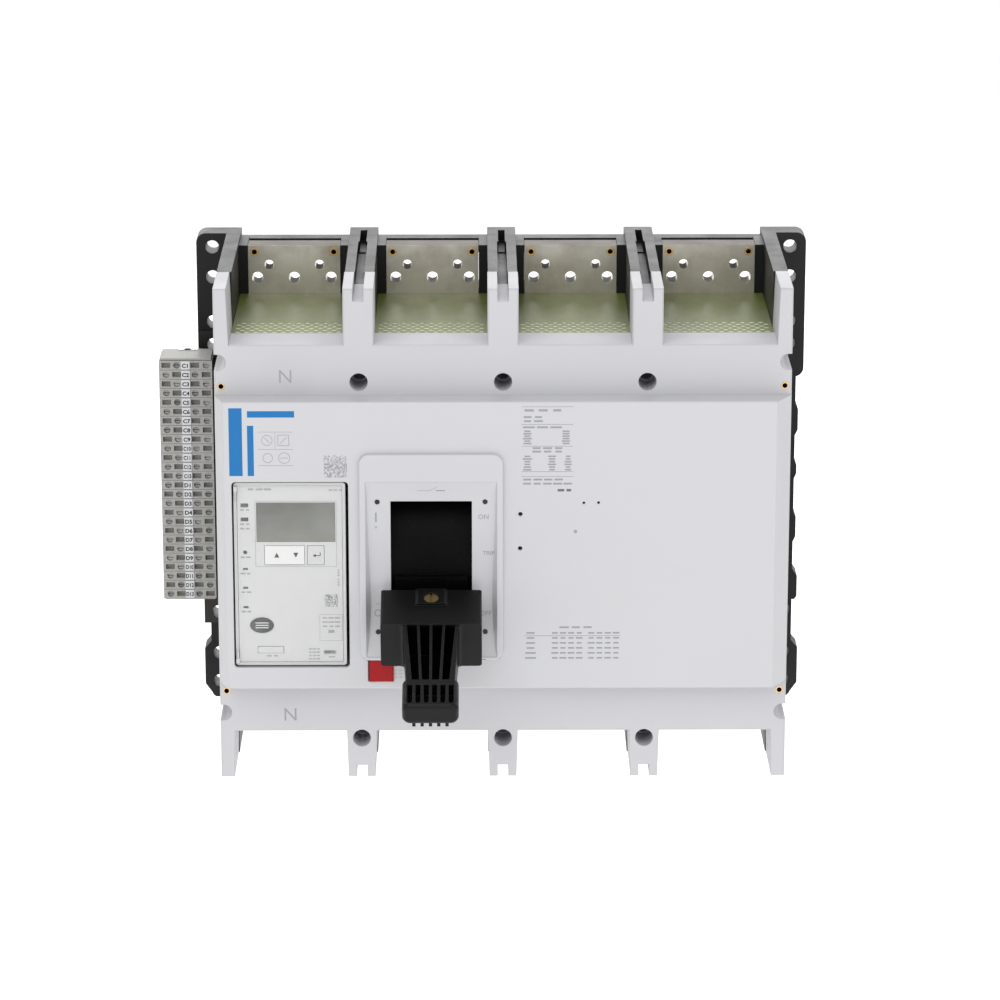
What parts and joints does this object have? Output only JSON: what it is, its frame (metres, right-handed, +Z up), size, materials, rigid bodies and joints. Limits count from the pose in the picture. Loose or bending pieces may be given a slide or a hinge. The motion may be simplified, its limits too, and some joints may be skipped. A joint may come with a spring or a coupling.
{
  "type": "molded case breaker",
  "caption": "Large four-pole molded case circuit breaker with extended toggle handle, electronic trip unit and side terminal strip; switches and protects a power circuit.",
  "frame": {"origin": "centre of the flange's flat back face, midway between the case's ends", "axes": "+X to the right seen from the front, +Y back into the mounting panel, +Z up towards the line terminals"},
  "size_m": [0.537, 0.3865, 0.4064],
  "materials": {
    "base": "moulded black thermoset, satin",
    "cover": "moulded light grey thermoset, fine grain",
    "front_panel": "moulded light grey plastic, fine grain",
    "brass": "turned brass",
    "zinc_steel": "zinc plated steel",
    "red_plastic": "red moulded plastic",
    "spring_steel": "spring wire",
    "dark_plastic": "black moulded plastic",
    "plated_copper": "tin or silver plated copper, brushed",
    "glass_laminate": "green glass laminate, semi gloss",
    "silver_contact": "silver alloy",
    "copper": "bare copper",
    "fibre": "vulcanised fibre",
    "handle_plastic": "black moulded plastic, satin",
    "trip_unit_plastic": "light grey moulded plastic",
    "display_glass": "grey display under a clear window",
    "key_plastic": "light grey key caps",
    "led_plastic": "dark light guides",
    "circuit_board": "green circuit board",
    "clear_plastic": "clear polycarbonate",
    "terminal_plastic": "grey polyamide",
    "tag_plastic": "white marker plastic",
    "black_steel": "black painted steel",
    "rubber": "black rubber",
    "lead_insulation": "orange wire insulation"
  },
  "bodies": {
    "case": {"base": "base", "cover": "cover", "brass_inserts": "brass", "cover_screws": "zinc_steel", "front_panel": "front_panel", "escutcheon": "front_panel", "escutcheon_screws": "zinc_steel", "trip_button_spring": "spring_steel", "trip_actuator": "dark_plastic", "line_conductors": "plated_copper", "load_conductors": "plated_copper", "terminal_inserts": "brass", "line_vent_screens": "glass_laminate", "load_vent_screens": "glass_laminate", "fixed_contacts": "silver_contact", "crossbar_bearings": "dark_plastic", "arc_grids": "zinc_steel", "arc_side_plates": "fibre", "flexible_shunts": "copper", "current_sensors": "dark_plastic", "mechanism_plates": "zinc_steel", "mechanism_spacers": "zinc_steel", "handle_pivot_pin": "zinc_steel", "operating_springs": "spring_steel", "cradle": "zinc_steel", "trip_unit_housing": "trip_unit_plastic", "trip_unit_fascia": "trip_unit_plastic", "lcd_display": "display_glass", "status_leds": "led_plastic", "circuit_board": "circuit_board", "battery_tray": "trip_unit_plastic", "battery_cell": "zinc_steel", "battery_tab": "dark_plastic", "usb_socket": "zinc_steel", "clear_cover_pins": "zinc_steel", "auxiliary_switches": "dark_plastic", "terminal_blocks_c": "terminal_plastic", "terminal_blocks_d": "terminal_plastic", "clamp_screws": "zinc_steel", "marker_tags": "tag_plastic", "din_rail": "zinc_steel", "end_stops": "terminal_plastic", "rail_brackets": "black_steel", "lead_grommet": "rubber", "control_leads": "lead_insulation"},
    "handle": {"handle_lever": "handle_plastic", "handle_shield": "handle_plastic", "handle_extension": "handle_plastic", "handle_screw": "brass"},
    "contact_shaft": {"crossbar": "dark_plastic", "contact_fingers": "copper", "moving_contacts": "silver_contact", "toggle_links": "zinc_steel"},
    "trip_button": {"trip_button": "red_plastic"},
    "trip_bar": {"trip_bar": "dark_plastic"},
    "arrow_key": {"arrow_key": "key_plastic"},
    "enter_key": {"enter_key": "key_plastic"},
    "clear_cover": {"clear_cover": "clear_plastic"}
  },
  "joints": [
    {"name": "handle_swing", "type": "hinge", "parent": "case", "child": "handle", "pos_m": [-0.05715, -0.165, -0.0189], "axis": [-1, 0, 0], "range_deg": [0, 35]},
    {"name": "contacts_close", "type": "hinge", "parent": "case", "child": "contact_shaft", "pos_m": [0, -0.084, -0.012], "axis": [-1, 0, 0], "range_deg": [0, 32]},
    {"name": "trip_button_push", "type": "slide", "parent": "case", "child": "trip_button", "axis": [0, 1, 0], "range_m": [0, 0.003], "stiffness_N_per_m": 900, "deforming": ["trip_button_spring"]},
    {"name": "trip_bar_turn", "type": "hinge", "parent": "case", "child": "trip_bar", "pos_m": [-0.05715, -0.2, -0.1185], "axis": [-1, 0, 0], "range_deg": [0, 15.5]},
    {"name": "arrow_key_rock", "type": "hinge", "parent": "case", "child": "arrow_key", "pos_m": [-0.17395, -0.242, -0.0095], "axis": [0, 0, 1], "range_deg": [-2, 2], "stiffness_Nm_per_rad": 0.5},
    {"name": "enter_key_press", "type": "slide", "parent": "case", "child": "enter_key", "axis": [0, 1, 0], "range_m": [0, 0.0008], "stiffness_N_per_m": 900},
    {"name": "clear_cover_swing", "type": "hinge", "parent": "case", "child": "clear_cover", "pos_m": [-0.2122, -0.247, -0.0255], "axis": [0, 0, -1], "range_deg": [0, 115]}
  ],
  "couplings": [
    {"joint": "contacts_close", "follows": "handle_swing", "ratio": 0.91429},
    {"joint": "trip_bar_turn", "follows": "trip_button_push", "rad_per_m": 90}
  ]
}
